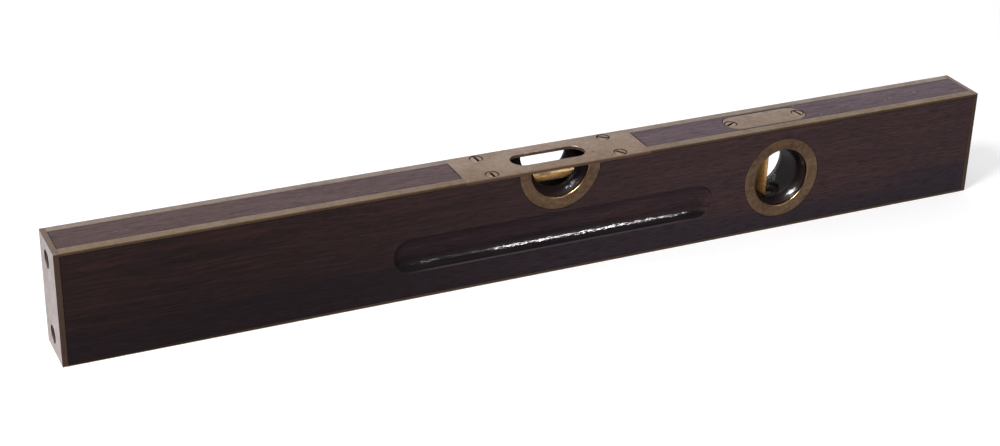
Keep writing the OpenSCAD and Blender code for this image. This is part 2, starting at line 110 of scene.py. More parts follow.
def placed(bm, place, axis="Z", turn=0):
    # lays the mesh's Z along the axis, after a turn about it, and brings it to its place
    angle, about = {"Z": (0, "X"), "-Z": (180, "X"), "X": (90, "Y"), "-X": (-90, "Y"),
                    "Y": (-90, "X"), "-Y": (90, "X")}[axis]
    lay = Matrix.Rotation(math.radians(angle), 4, about)
    spin = Matrix.Rotation(math.radians(turn), 4, "Z")
    bmesh.ops.transform(bm, matrix=Matrix.Translation(place) @ lay @ spin, verts=bm.verts)
    return bm


def arcPoints(centre, radius, first, last, steps):
    angles = [math.radians(first + (last - first) * i / steps) for i in range(steps + 1)]
    return [(centre[0] + radius * math.cos(a), centre[1] + radius * math.sin(a)) for a in angles]


def roundEnded(length, width, low, high, centre, steps=64):
    # a bar with round ends along X: a circle's halves drawn apart, then raised
    bm = bmesh.new()
    bmesh.ops.create_circle(bm, segments=steps, radius=width / 2, cap_ends=True,
                            matrix=Matrix.Rotation(math.pi / steps, 4, "Z"))
    for end in (-1, 1):
        half = [v for v in bm.verts if v.co.x * end > 0]
        slide(bm, (end * (length - width) / 2, 0, 0), half)
    raised = bmesh.ops.extrude_face_region(bm, geom=bm.faces[:])
    top = [v for v in raised["geom"] if isinstance(v, bmesh.types.BMVert)]
    slide(bm, (0, 0, high - low), top)
    slide(bm, (*centre, low))
    faceOut(bm)
    return bm


def shape(piece, bm, operation="DIFFERENCE"):
    tool = asPiece(bm, "tool")
    step = piece.modifiers.new("shape", "BOOLEAN")
    step.object = tool
    step.operation = operation
    step.solver = "EXACT"
    with bpy.context.temp_override(object=piece, active_object=piece):
        bpy.ops.object.modifier_apply(modifier=step.name)
    mesh = tool.data
    bpy.data.objects.remove(tool)
    bpy.data.meshes.remove(mesh)


def soften(piece, width, least=35, segments=2, only=None):
    # bevels the edges that turn by more than the least angle
    bm = bmesh.new()
    bm.from_mesh(piece.data)
    edges = [e for e in bm.edges if e.is_manifold and e.calc_face_angle(0) > math.radians(least)]
    if only:
        edges = [e for e in edges if only(e.verts[0].co / mm) and only(e.verts[1].co / mm)]
    bmesh.ops.bevel(bm, geom=edges, offset=width * mm, offset_type="OFFSET", segments=segments,
                    profile=0.5, affect="EDGES", material=-1)
    bm.to_mesh(piece.data)
    bm.free()


def dress(piece, material, nodes, body="body", sharpAngle=40):
    piece.data.materials.clear()
    piece.data.materials.append(material)
    piece.data.shade_smooth()
    piece.data.set_sharp_from_angle(angle=math.radians(sharpAngle))
    shading = piece.modifiers.new("flat faces stay flat", "WEIGHTED_NORMAL")
    shading.keep_sharp = True
    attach(piece, body)
    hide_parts(*nodes)
    return piece


# Material helpers

def wire(tree, node, values):
    for socket, value in values.items():
        if isinstance(value, bpy.types.NodeSocket):
            tree.links.new(value, node.inputs[socket])
        else:
            node.inputs[socket].default_value = value


def addNode(tree, kind, values=None, **settings):
    node = tree.nodes.new("ShaderNode" + kind)
    for name, value in settings.items():
        setattr(node, name, value)
    wire(tree, node, values or {})
    return node


def startFinish(name):
    material = bpy.data.materials.new(name)
    material.use_nodes = True
    tree = material.node_tree
    surface = tree.nodes["Principled BSDF"]
    place = addNode(tree, "TexCoord").outputs["Object"]
    return material, tree, surface, place


def noiseAt(tree, place, scale, detail=4.0, roughness=0.55, distortion=0.0, shift=(0, 0, 0)):
    # scale is the number of features in a metre, along each axis
    fitted = addNode(tree, "Mapping", {"Vector": place, "Location": shift, "Scale": scale})
    noise = addNode(tree, "TexNoise", {"Vector": fitted.outputs[0], "Scale": 1.0, "Detail": detail,
                                       "Roughness": roughness, "Distortion": distortion})
    return noise.outputs[0]


def between(tree, value, low, high, toLow=0.0, toHigh=1.0, smooth=True):
    return addNode(tree, "MapRange", {"Value": value, "From Min": low, "From Max": high,
                                      "To Min": toLow, "To Max": toHigh},
                   interpolation_type="SMOOTHSTEP" if smooth else "LINEAR").outputs[0]


def sums(tree, operation, first, second=0.0):
    return addNode(tree, "Math", {0: first, 1: second}, operation=operation).outputs[0]


def times(tree, first, *others):
    for other in others:
        first = sums(tree, "MULTIPLY", first, other)
    return first


def most(tree, first, *others):
    for other in others:
        first = sums(tree, "MAXIMUM", first, other)
    return first


def weighted(tree, first, firstWeight, second, secondWeight):
    return sums(tree, "ADD", times(tree, first, firstWeight), times(tree, second, secondWeight))


def shaded(colour, share):
    return tuple(share * c for c in colour)


def mixed(tree, share, low, high, how="MIX"):
    low, high = [(*c, 1) if isinstance(c, tuple) else c for c in (low, high)]
    return addNode(tree, "Mix", {0: share, 6: low, 7: high}, data_type="RGBA", blend_type=how).outputs[2]


def ramp(tree, value, stops):
    node = addNode(tree, "ValToRGB", {0: value})
    while len(node.color_ramp.elements) < len(stops):
        node.color_ramp.elements.new(0.5)
    for element, (place, colour) in zip(node.color_ramp.elements, stops):
        element.position = place
        element.color = (*colour, 1)
    return node.outputs[0]


def bumped(tree, height, strength, distance):
    return addNode(tree, "Bump", {"Strength": strength, "Distance": distance, "Height": height}).outputs[0]


def axesOf(tree, place):
    parts = addNode(tree, "SeparateXYZ", {0: place}).outputs
    return {"x": parts[0], "y": parts[1], "z": parts[2],
            "length": sums(tree, "ABSOLUTE", parts[0]), "depth": sums(tree, "ABSOLUTE", parts[1])}


def zonesOf(tree, axes, areas):
    # the named parts of a surface, with soft borders: 1 inside and 0 outside, times the other shares
    def zone(name, *others):
        return times(tree, *[between(tree, axes[axis], *span) for axis, *span in areas[name]], *others)
    return zone


# Sizes of the stock, of its openings, of the grooves and of what is let into it, in millimetres

stock = {"halfLength": 226.1, "halfWidth": 12.7, "height": 53.0, "plateHalf": 46.0, "plateDepth": 1.6,
         "past": 1.0, "fit": 0.03}
sight = {"windowZ": 52.0, "plumbX": 118.1, "plumbZ": 26.5, "ringRadius": 20.1, "ringDepth": 1.5,
         "edge": 0.15, "lip": 1.0, "mouthRadius": 14.3, "windowThroat": 11.4, "plumbThroat": 12.0,
         "flareEnd": 6.0}
groove = {"length": 161.0, "height": 16.8, "depth": 4.6, "z": 21.6, "rounding": 0.45}
pocket = {"halfLength": 44.6, "halfWidth": 6.0, "floor": 39.8, "bracketFrom": 36.0, "bracketTo": 45.0,
          "bracketHalfWidth": 10.0, "bracketFloor": 50.4, "boreX": 118.1, "boreRadius": 6.7,
          "boreFloor": 8.3, "slotFrom": 103.0, "slotHalfWidth": 3.6, "slotFloor": 43.5}
cover = {"x": 113.8, "length": 43.3, "width": 14.2, "gap": 0.22, "edge": 0.2, "bracketHalf": 15.2,
         "bracketHalfWidth": 5.65}


# Wood finish: colours, some of them painted light and shade, how much of each, noises, and where on the
# stock each change lies

oldWood = {
    "dark": (0.0082, 0.0030, 0.0036), "mid": (0.0172, 0.0064, 0.0070), "vein": (0.0345, 0.0118, 0.0108),
    "low": (0.0085, 0.0034, 0.0070), "right": (0.0345, 0.0195, 0.0215), "lowRight": (0.0195, 0.0158, 0.0215),
    "top": (0.108, 0.060, 0.062), "topRight": (0.020, 0.020, 0.036), "speck": (0.45, 0.42, 0.40),
    "hollow": (0.0062, 0.0022, 0.0032), "grooveShade": (0.0030, 0.0004, 0.0014),
    "grooveWallSheen": (0.0004, 0.0018, 0.0056), "grooveEdgeHighlight": (0.048, 0.032, 0.038),
    "waist": (0.0230, 0.0165, 0.0205), "bore": (0.085, 0.062, 0.066), "joint": (0.0012, 0.0008, 0.0008),
}
woodShares = {"low": 0.65, "topDark": 0.68, "hollow": 0.82, "waist": 0.8, "pocket": 0.9, "joint": 0.92,
              "wave": 0.009, "drift": 0.08, "dryFoot": 0.42, "reflects": 0.12, "coatRough": 0.06}
woodNoise = {
    "bend": {"scale": (9, 30, 40), "detail": 2},
    "broad": {"scale": (6, 110, 180), "roughness": 0.6, "distortion": 0.3},
    "streak": {"scale": (30, 560, 860), "detail": 5, "roughness": 0.68, "distortion": 0.3,
               "shift": (2, 4, 1)},
    "pores": {"scale": (130, 1500, 2200), "detail": 3, "roughness": 0.7, "shift": (3, 0, 0)},
    "cloud": {"scale": (14, 25, 25), "detail": 3},
    "dots": {"scale": (420, 900, 900), "detail": 1, "shift": (7, 2, 1)},
    "nicks": {"scale": (700, 1100, 1100), "detail": 2, "roughness": 0.5, "shift": (1, 5, 2)},
    "lines": {"scale": (330, 2600, 2600), "detail": 3, "roughness": 0.6, "shift": (6, 1, 2)},
    "ripple": {"scale": (60, 800, 800), "roughness": 0.65, "distortion": 0.3, "shift": (1, 5, 2)},
}
# each row is an axis, where the part ends, where it is full, and the two shares unless they are 0 and 1
woodAreas = {
    "top": [("z", 0.0524, 0.0529)],
    "topSpecks": [("x", 0.03, 0.16, 0.2, 1.0)],
    "faces": [("depth", 0.01255, 0.01265)],
    "rearStrips": [("y", -0.001, 0.001, 0.5, 1.0)],
    "inside": [("depth", 0.01262, 0.0123), ("z", 0.0515, 0.0513)],
    "groove": [("length", 0.086, 0.085), ("z", 0.0330, 0.0320)],
    "grooveFoot": [("z", 0.0179, 0.0150)],
    "grooveBand": [("z", 0.0207, 0.0179, 0.0, 0.5)],
    "grooveWall": [("z", 0.0190, 0.0230)],
    "grooveEdge": [("depth", 0.01212, 0.01232), ("depth", 0.01269, 0.01262)],
    "darkEdge": [("z", 0.0240, 0.0270, 0.0, 0.85)],
    "lightEdge": [("z", 0.0150, 0.0146), ("z", 0.0110, 0.0114), ("length", 0.075, 0.060)],
    "waist": [("depth", 0.0066, 0.0060), ("x", 0.099, 0.100)],
    "bore": [("z", 0.0149, 0.0143)],
    "pocket": [("depth", 0.0066, 0.0060), ("length", 0.047, 0.046), ("z", 0.036, 0.037)],
    "glossy": [("depth", 0.0061, 0.0064)],
    "glossyFront": [("y", 0.0, -0.001)],
    "glossyGroove": [("z", 0.0181, 0.0173), ("z", 0.0144, 0.0150), ("length", 0.072, 0.064)],
    "glossyMiddle": [("x", -0.035, -0.025, 0.1, 1.0), ("x", 0.048, 0.056, 1.0, 0.6)],
    "glossyLeft": [("x", -0.056, -0.062, 0.0, 0.5)],
    "glossyWindow": [("z", 0.030, 0.031), ("z", 0.046, 0.044), ("x", 0.0015, 0.0045)],
    "glossyHole": [("x", 0.1205, 0.1235), ("z", 0.0215, 0.0195)],
}
grime = {"under": 0.0516, "foot": 0.0014, "inside": 0.0081, "plate": 0.046, "end": 0.2261, "wide": 0.0004,
         "endWide": 0.00045, "coverWide": 0.00052, "full": 0.4, "faces": 0.65}


def nearLine(tree, value, line, wide):
    # 1 next to the line and 0 a joint's width away, on the side that the sign of the width gives
    return between(tree, value, line + wide, line + wide * grime["full"])


def away(tree, across, upright):
    squares = sums(tree, "ADD", times(tree, across, across), times(tree, upright, upright))
    return sums(tree, "SQRT", squares)


def roundJoint(tree, axes, x, z):
    # a thin dark line round a ring that is let into the front and back faces
    across = sums(tree, "SUBTRACT", axes["x"], x * mm)
    upright = sums(tree, "SUBTRACT", axes["z"], z * mm)
    return nearLine(tree, away(tree, across, upright), sight["ringRadius"] * mm, grime["wide"])


def coverJoint(tree, axes):
    # the same round the cover plate with its round ends
    offCentre = sums(tree, "ABSOLUTE", sums(tree, "SUBTRACT", axes["x"], cover["x"] * mm))
    beyond = sums(tree, "SUBTRACT", offCentre, (cover["length"] - cover["width"]) / 2 * mm)
    reach = away(tree, most(tree, beyond, 0.0), axes["y"])
    return nearLine(tree, reach, cover["width"] / 2 * mm, grime["coverWide"])


def woodJoints(tree, axes, zone, topShare):
    wide = grime["wide"]
    onFaces = most(tree, nearLine(tree, axes["z"], grime["under"], -wide),
                   nearLine(tree, axes["z"], grime["foot"], wide),
                   roundJoint(tree, axes, 0, sight["windowZ"]),
                   roundJoint(tree, axes, sight["plumbX"], sight["plumbZ"]))
    besideStrips = zone("rearStrips", nearLine(tree, axes["depth"], grime["inside"], -wide))
    onTop = most(tree, besideStrips, nearLine(tree, axes["length"], grime["plate"], wide),
                 coverJoint(tree, axes))
    ends = times(tree, nearLine(tree, axes["length"], grime["end"], -grime["endWide"]),
                 between(tree, topShare, 0.0, 1.0, grime["faces"], 1.0))
    return most(tree, zone("faces", onFaces, grime["faces"]), times(tree, onTop, topShare), ends)


def rosewood():
    material, tree, surface, place = startFinish("rosewood")
    axes = axesOf(tree, place)
    zone = zonesOf(tree, axes, woodAreas)
    bend = noiseAt(tree, place, **woodNoise["bend"])
    lifted = addNode(tree, "CombineXYZ", {2: times(tree, bend, woodShares["wave"])})
    wavy = addNode(tree, "VectorMath", {0: place, 1: lifted.outputs[0]}, operation="ADD").outputs[0]
    broad, streak, pores = [noiseAt(tree, wavy, **woodNoise[name]) for name in ("broad", "streak", "pores")]
    cloud, dots, nicks, lines, ripple = [noiseAt(tree, place, **woodNoise[name])
                                         for name in ("cloud", "dots", "nicks", "lines", "ripple")]
    veins = weighted(tree, broad, 0.36, streak, 0.64)
    colour = ramp(tree, veins, [(0.39, oldWood["dark"]), (0.50, oldWood["mid"]), (0.63, oldWood["vein"])])

    # the faces grow paler to the right, and darker and cooler towards the base
    drift = sums(tree, "ADD", axes["x"], times(tree, cloud, woodShares["drift"]))
    rightShare = between(tree, drift, -0.14, 0.15)
    edge = sums(tree, "ADD", axes["z"], between(tree, bend, 0.3, 0.7, -0.006, 0.006))
    sunken = mixed(tree, woodShares["low"], colour, oldWood["low"])
    sunken = mixed(tree, rightShare, sunken, oldWood["lowRight"], "ADD")
    colour = mixed(tree, rightShare, colour, oldWood["right"], "ADD")
    colour = mixed(tree, between(tree, edge, 0.0180, 0.0140), colour, sunken)

    # the top face is painted paler, as a painted sheen, with a few light specks
    topShare = zone("top")
    topSheen = ramp(tree, veins, [(0.38, shaded(oldWood["top"], woodShares["topDark"])), (0.62, oldWood["top"])])
    topSheen = mixed(tree, rightShare, topSheen, oldWood["topRight"], "ADD")
    colour = mixed(tree, topShare, colour, topSheen)

    # places inside the openings and the grooves
    inside = zone("inside")
    inGroove = zone("groove")
    openings = times(tree, inside, sums(tree, "SUBTRACT", 1.0, inGroove))
    waist = zone("waist", inside)
    sunk = times(tree, inside, inGroove)
    foot = zone("grooveFoot", sunk)
    onEdge = zone("grooveEdge")
    inPocket = zone("pocket")
    # then each coat over the last: where it lies, its colour, and how it is laid
    coats = [(zone("topSpecks", between(tree, dots, 0.755, 0.775), topShare), "speck"),
             (between(tree, pores, 0.38, 0.54, 0.5, 0.0), "joint"),
             # painted shade: the wood inside the openings is darkened
             (times(tree, openings, woodShares["hollow"]), "hollow"),
             (times(tree, waist, woodShares["waist"]), "waist"),
             # painted light: the bore's wall in the plumb hole is lightened where it lies in shade
             (zone("bore", waist), "bore"),
             # painted shade: the groove's lower wall, and in part the band above its highlight, are darkened
             (most(tree, foot, zone("grooveBand", sunk)), "grooveShade"),
             # painted sheen: a cool grey is added on the groove's upper wall
             (zone("grooveWall", sunk), "grooveWallSheen", "ADD"),
             # painted shadow: a dark line, in the joint colour, along the groove's upper edge
             (zone("darkEdge", onEdge, inGroove), "joint"),
             # painted highlight: a light line along the groove's lower edge
             (zone("lightEdge", onEdge), "grooveEdgeHighlight"),
             # painted shade: the pocket under the plate is darkened to the joint colour
             (times(tree, inPocket, woodShares["pocket"]), "joint"),
             (times(tree, woodJoints(tree, axes, zone, topShare), woodShares["joint"]), "joint")]
    for share, shade, *how in coats:
        colour = mixed(tree, share, colour, oldWood[shade], *how)

    # worn and oiled: the lower wall of each finger groove, and patches of the flares round the openings
    sightShare = zone("glossyFront", most(tree, zone("glossyWindow"), zone("glossyHole")))
    rubbedAndGlint = times(tree, sightShare, between(tree, nicks, 0.44, 0.54))
    streaks = times(tree, between(tree, lines, 0.42, 0.56, 0.1, 1.0),
                    most(tree, zone("glossyMiddle"), zone("glossyLeft")))
    coat = zone("glossy", inside, sums(tree, "ADD", zone("glossyGroove", streaks), rubbedAndGlint))
    coatHeight = mixed(tree, sightShare, weighted(tree, lines, 0.2, nicks, 0.35), nicks)
    dry = times(tree, most(tree, inPocket, foot), woodShares["dryFoot"])
    wire(tree, surface, {
        "Base Color": colour,
        "Roughness": sums(tree, "ADD", between(tree, ripple, 0.3, 0.7, 0.36, 0.54), dry),
        "Specular IOR Level": woodShares["reflects"], "Coat Weight": coat,
        "Coat Roughness": woodShares["coatRough"],
        "Normal": bumped(tree, weighted(tree, ripple, 0.65, pores, 0.35), 0.4, 0.0002),
        "Coat Normal": bumped(tree, coatHeight, 1.0, 0.00014)})
    return material


# Brass finishes: shared noises and places, then the colours, wear, and painted light and shade of each

brassNoise = {
    "cloud": {"scale": (60, 80, 80), "distortion": 0.3},
    "fine": {"scale": (420, 560, 560), "roughness": 0.6},
    "dots": {"scale": (650, 800, 800), "detail": 2, "roughness": 0.5, "shift": (4, 1, 6)},
    "scratches": {"scale": (40, 1500, 1500), "detail": 2, "roughness": 0.5, "shift": (2, 3, 9)},
}
brassAreas = {
    "seam": [("y", 0.0092, 0.0085), ("y", 0.0070, 0.0075, 0.0, 0.75)],
    "rim": [("z", 0.0526, 0.0529)],
    "faces": [("depth", 0.01235, 0.01262)],
    "baseRight": [("x", -0.22, -0.06)],
    "base": [("z", 0.02, 0.01)],
    "lip": [("depth", 0.01264, 0.01225)],
    "lipFoot": [("depth", 0.01205, 0.01190)],
    "besideSlot": [("depth", 0.0059, 0.0060, 0.55, 1.0)],
    "pastSlot": [("x", 0.060, 0.061)],
    "belowRim": [("z", 0.0505, 0.0500)],
    "glintEnd": [("x", 0.051, 0.050)],
}
brassWear = {"speckStep": 0.03, "speckShare": 0.7, "rougher": 0.06, "smoother": 0.04, "sideDark": 0.7,
             "sideLight": 1.35, "baseDark": 0.35, "edgeStep": 0.0003, "lipPolish": 0.16, "pitStep": 0.00008,
             "pitShare": 0.93, "pitRough": 0.3, "seatStep": 0.0001, "footShadeStep": 0.0006, "footShadeShare": 0.95}


def brassFinish(name, look):
    material, tree, surface, place = startFinish(name)
    axes = axesOf(tree, place)
    zone = zonesOf(tree, axes, brassAreas)
    shift = look.get("shift", (0, 0, 0))
    cloud, fine = [noiseAt(tree, place, shift=shift, **brassNoise[name]) for name in ("cloud", "fine")]
    dots, scratches = [noiseAt(tree, place, **brassNoise[name]) for name in ("dots", "scratches")]
    patches = weighted(tree, cloud, 0.55, fine, 0.45)
    colour = ramp(tree, patches, [(0.36, look["dark"]), (0.5, look["mid"]), (0.64, look["light"])])
    rough = between(tree, patches, 0.36, 0.64, look["rough"] + brassWear["rougher"],
                    look["rough"] - brassWear["smoother"])
    specks = between(tree, dots, look["speckFrom"], look["speckFrom"] + brassWear["speckStep"],
                     0.0, brassWear["speckShare"])
    colour = mixed(tree, specks, colour, look["speck"])
    if "front" in look:  # the brass of the top is browner in front and greyer behind
        across = stock["halfWidth"] * mm
        rearShare = between(tree, axes["y"], -across, across, smooth=False)
        tint = mixed(tree, rearShare, look["front"], look["rear"])
        colour = mixed(tree, 1.0, colour, tint, "MULTIPLY")
    if "seam" in look:  # dirt lies along the inner edge of the rear strips
        colour = mixed(tree, zone("seam"), colour, look["seam"])
    if "rim" in look:  # an end plate's top edge is browner than its face
        colour = mixed(tree, zone("rim"), colour, look["rim"])
    if "side" in look:  # the front and back faces are painted dark, as painted shade, which stops short of their outer edges
        fromTop = sums(tree, "SUBTRACT", stock["height"] * mm, axes["z"])
        fromEdge = sums(tree, "MINIMUM", axes["z"], fromTop)
        sideShade = mixed(tree, patches, shaded(look["side"], brassWear["sideDark"]),
                        shaded(look["side"], brassWear["sideLight"]))
        if "base" in look:  # the base strips are greyer, and darker towards the left end
            baseDark = shaded(look["base"], brassWear["baseDark"])
            baseTint = mixed(tree, zone("baseRight"), baseDark, look["base"])
            sideShade = mixed(tree, zone("base"), sideShade, baseTint)
        awayFromEdge = between(tree, fromEdge, look["shadeMargin"], look["shadeMargin"] + brassWear["edgeStep"])
        colour = mixed(tree, zone("faces", awayFromEdge), colour, sideShade)
    if "lip" in look:  # the rolled lip inside a ring is rubbed bright
        lipShare = zone("lip")
        colour = mixed(tree, lipShare, colour, look["lip"])
        rough = sums(tree, "SUBTRACT", rough, times(tree, lipShare, brassWear["lipPolish"]))
        # painted shade: past the lip, the ring's inner edge is darkened to the speck colour
        colour = mixed(tree, zone("lipFoot"), colour, look["speck"])
    if "pits" in look:  # below the face, in slots and round heads, the brass is darkened: old dirt and painted shade
        axis, level = look["pits"]
        pitShare = between(tree, axes[axis], level, level - brassWear["pitStep"])
        if "seats" in look:
            seats = between(tree, axes["depth"], look["seats"] + brassWear["seatStep"], look["seats"])
            free = zone("belowRim") if axis == "length" else most(tree, zone("besideSlot"), zone("pastSlot"))
            pitShare = times(tree, pitShare, seats, free)
        colour = mixed(tree, times(tree, pitShare, brassWear["pitShare"]), colour, look["speck"])
        rough = sums(tree, "ADD", rough, times(tree, pitShare, brassWear["pitRough"]))
    if "glint" in look:  # a painted highlight runs along a line on the level case's lower flank
        offLine = sums(tree, "ABSOLUTE", sums(tree, "SUBTRACT", axes["z"], look["glint"]))
        glint = zone("glintEnd", between(tree, offLine, 0.0005, 0.0001),
                     between(tree, fine, 0.36, 0.56, 0.3, 1.0))
        colour = mixed(tree, glint, colour, look["rubbedAndGlint"])
    if "shadedFoot" in look:  # painted shade darkens the plumb case's lower end
        footShade = between(tree, axes["z"], look["shadedFoot"] + brassWear["footShadeStep"], look["shadedFoot"],
                       0.0, brassWear["footShadeShare"])
        colour = mixed(tree, footShade, colour, look["speck"])
    wire(tree, surface, {
        "Base Color": colour, "Metallic": look.get("metal", 1.0), "Roughness": rough,
        "Normal": bumped(tree, weighted(tree, fine, 0.6, scratches, 0.4), look["relief"], 0.00015)})
    return material


brasses = {
    "old_brass": {
        "dark": (0.198, 0.142, 0.104), "mid": (0.256, 0.187, 0.140), "light": (0.306, 0.228, 0.176),
        "speck": (0.030, 0.014, 0.009), "speckFrom": 0.70, "rough": 0.42, "relief": 0.15,
        "side": (0.104, 0.065, 0.045), "shadeMargin": 0.0003, "pits": ("z", 0.05288), "seats": 0.0123,
        "front": (0.84, 0.78, 0.70), "rear": (1.06, 1.07, 1.14),
    },
    "strip_brass": {
        "dark": (0.200, 0.142, 0.090), "mid": (0.258, 0.186, 0.122), "light": (0.315, 0.232, 0.158),
        "speck": (0.05, 0.03, 0.02), "speckFrom": 0.70, "rough": 0.43, "relief": 0.15,
        "side": (0.079, 0.050, 0.028), "shadeMargin": 0.00015, "shift": (5, 1, 3),
        "front": (0.704, 0.677, 0.675), "rear": (0.936, 1.013, 1.295), "seam": (0.080, 0.052, 0.045),
        "base": (0.080, 0.058, 0.041),
    },
    # painted reflection: the end plates' brass is coloured paler than the other brass, for their bright
    # faces
    "lit_end_plate_brass": {
        "dark": (0.330, 0.275, 0.258), "mid": (0.405, 0.345, 0.330), "light": (0.480, 0.415, 0.400),
        "speck": (0.06, 0.04, 0.03), "speckFrom": 0.69, "rough": 0.36, "relief": 0.15,
        "rim": (0.157, 0.108, 0.083), "side": (0.068, 0.044, 0.033), "shadeMargin": 0.0002,
        "shift": (1, 8, 3), "pits": ("length", 0.22858), "seats": 0.0062,
    },
    # the rings' dark colour is partly bronzed brass and partly painted shade
    "ring_brass": {
        "dark": (0.078, 0.046, 0.027), "mid": (0.129, 0.081, 0.050), "light": (0.182, 0.122, 0.074),
        "speck": (0.030, 0.017, 0.011), "speckFrom": 0.69, "rough": 0.38, "relief": 0.2,
        "lip": (0.240, 0.145, 0.072), "shift": (2, 6, 4),
    },
    # painted light: the cases' colours are brighter than brass, for the light inside the holes
    "case_brass": {
        "dark": (0.540, 0.250, 0.062), "mid": (0.860, 0.440, 0.130), "light": (1.000, 0.640, 0.290),
        "speck": (0.10, 0.045, 0.015), "speckFrom": 0.69, "rough": 0.32, "relief": 0.2, "metal": 0.45,
        "glint": 0.0424, "rubbedAndGlint": (1.0, 0.80, 0.50), "shadedFoot": 0.0139,
    },
    "screw_brass": {
        "dark": (0.190, 0.135, 0.098), "mid": (0.270, 0.196, 0.148), "light": (0.350, 0.265, 0.205),
        "speck": (0.014, 0.006, 0.004), "speckFrom": 0.70, "rough": 0.36, "relief": 0.2,
        "pits": ("z", 0.05282), "shift": (3, 3, 1),
    },
    # painted shade: the end screws are coloured far darker than the other screws
    "shaded_end_screw_brass": {
        "dark": (0.014, 0.007, 0.006), "mid": (0.024, 0.012, 0.010), "light": (0.050, 0.028, 0.022),
        "speck": (0.008, 0.004, 0.003), "speckFrom": 0.68, "rough": 0.60, "relief": 0.25,
        "pits": ("length", 0.2278), "shift": (3, 5, 1),
    },
    "inner_brass": {
        "dark": (0.210, 0.120, 0.044), "mid": (0.380, 0.240, 0.095), "light": (0.520, 0.350, 0.150),
        "speck": (0.08, 0.045, 0.018), "speckFrom": 0.68, "rough": 0.34, "relief": 0.2,
    },
    "spring_wire": {
        "dark": (0.20, 0.15, 0.09), "mid": (0.34, 0.26, 0.16), "light": (0.46, 0.38, 0.26),
        "speck": (0.08, 0.05, 0.03), "speckFrom": 0.7, "rough": 0.3, "relief": 0.15,
    },
}


# Clear finishes and plaster

clears = {
    "vial_glass": {"thick": (0.99, 0.995, 0.995), "thin": (0.995, 1.0, 1.0), "bends": 1.0, "shine": 0.2},
    "spirit": {"thick": (0.985, 0.985, 0.965), "thin": (0.995, 0.995, 0.98), "bends": 1.0, "shine": 0.0},
    "bubble": {"thick": (0.98, 0.99, 0.98), "thin": (1.0, 1.0, 1.0), "bends": 1.002, "shine": 0.1},
}
plaster = {"dark": (0.020, 0.014, 0.011), "light": (0.046, 0.036, 0.029)}


def clearFinish(name, look):
    # glass, spirit and air: little bending of light, so that what lies behind stays crisp
    material, tree, surface, place = startFinish(name)
    haze = noiseAt(tree, place, (160, 240, 240), roughness=0.6)
    colour = ramp(tree, haze, [(0.35, look["thick"]), (0.65, look["thin"])])
    wire(tree, surface, {"Base Color": colour, "Transmission Weight": 1.0, "IOR": look["bends"],
                         "Roughness": 0.0, "Coat Weight": look["shine"], "Coat Roughness": 0.03,
                         "Coat IOR": 1.45})
    return material


def bedPlaster():
    material, tree, surface, place = startFinish("vial plaster")
    lumps = noiseAt(tree, place, (900, 900, 900), 5, 0.65)
    stain = noiseAt(tree, place, (220, 220, 220), 3)
    colour = ramp(tree, stain, [(0.35, plaster["dark"]), (0.62, plaster["light"])])
    wire(tree, surface, {"Base Color": colour, "Roughness": between(tree, lumps, 0.3, 0.7, 0.8, 0.95),
                         "Normal": bumped(tree, lumps, 0.5, 0.0002)})
    return material


finishes = {"stock_wood": rosewood(), "plaster": bedPlaster()}
for key, look in brasses.items():
    finishes[key] = brassFinish(key.replace("_", " "), look)
for key, look in clears.items():
    finishes[key] = clearFinish(key.replace("_", " "), look)
print("finishes made,", len(finishes))


# Stock

def throatTool(throat, steps=12):
    # bell shaped from both faces, with a room for a ring round each mouth
    inner = stock["halfWidth"] - sight["ringDepth"]
    flare = []
    for i in range(steps + 1):
        t = i / steps
        reach = throat + (sight["mouthRadius"] - throat) * (1 - t) ** 2
        flare.append((reach, inner - t * (inner - sight["flareEnd"])))
    out = stock["halfWidth"] + stock["past"]
    ring = sight["ringRadius"] + stock["fit"]
    side = [(0, out), (ring, out), (ring, inner), *flare]
    return turned([*side, *[(r, -y) for r, y in reversed(side)]], 144)


def grooveTool(side, steps=14):
    # half a dish is turned, drawn out to the middle and mirrored, with a rounded mouth
    reach = groove["height"] / 2
    barRadius = (reach ** 2 + groove["depth"] ** 2) / (2 * groove["depth"])
    mouth = math.asin(reach / barRadius)
    soft = groove["rounding"]
    start = mouth - soft / barRadius
    angles = [start * i / steps for i in range(steps + 1)]
    run = [(barRadius * math.sin(a), groove["depth"] - barRadius * (1 - math.cos(a))) for a in angles]
    foot = Vector(run[-1])
    rim = Vector((reach, 0))
    lip = Vector((reach + soft, 0))
    for i in range(1, 5):
        t = i / 4
        run.append(tuple(foot * (1 - t) ** 2 + rim * 2 * t * (1 - t) + lip * t * t))
    run.append((lip.x, -stock["past"]))
    run.append((0, -stock["past"]))
    bm = bmesh.new()
    verts = [bm.verts.new((0, deep, -out)) for out, deep in run]
    edges = [bm.edges.new(pair) for pair in zip(verts, verts[1:])]
    bmesh.ops.spin(bm, geom=verts + edges, cent=(0, 0, 0), axis=(0, -1, 0), angle=math.pi, steps=40)
    bmesh.ops.remove_doubles(bm, verts=bm.verts, dist=1e-5)
    straight = groove["length"] / 2 - reach
    slide(bm, (straight, 0, 0))
    opened = [e for e in bm.edges if e.is_boundary]
    drawn = bmesh.ops.extrude_edge_only(bm, edges=opened)
    ends = [v for v in drawn["geom"] if isinstance(v, bmesh.types.BMVert)]
    slide(bm, (-straight, 0, 0), ends)
    bmesh.ops.mirror(bm, geom=bm.verts[:] + bm.edges[:] + bm.faces[:], axis="X", merge_dist=1e-4)
    bmesh.ops.remove_doubles(bm, verts=bm.verts, dist=1e-4)
    if side > 0:
        bmesh.ops.scale(bm, vec=(1, -1, 1), verts=bm.verts)
    slide(bm, (0, side * stock["halfWidth"], groove["z"]))
    faceOut(bm)
    return bm


# Screws: head radius, countersink height, shank radius, length, slot width and depth, how far it is sunk,
# then what all share: the room round the head, its soft edges and how its face falls

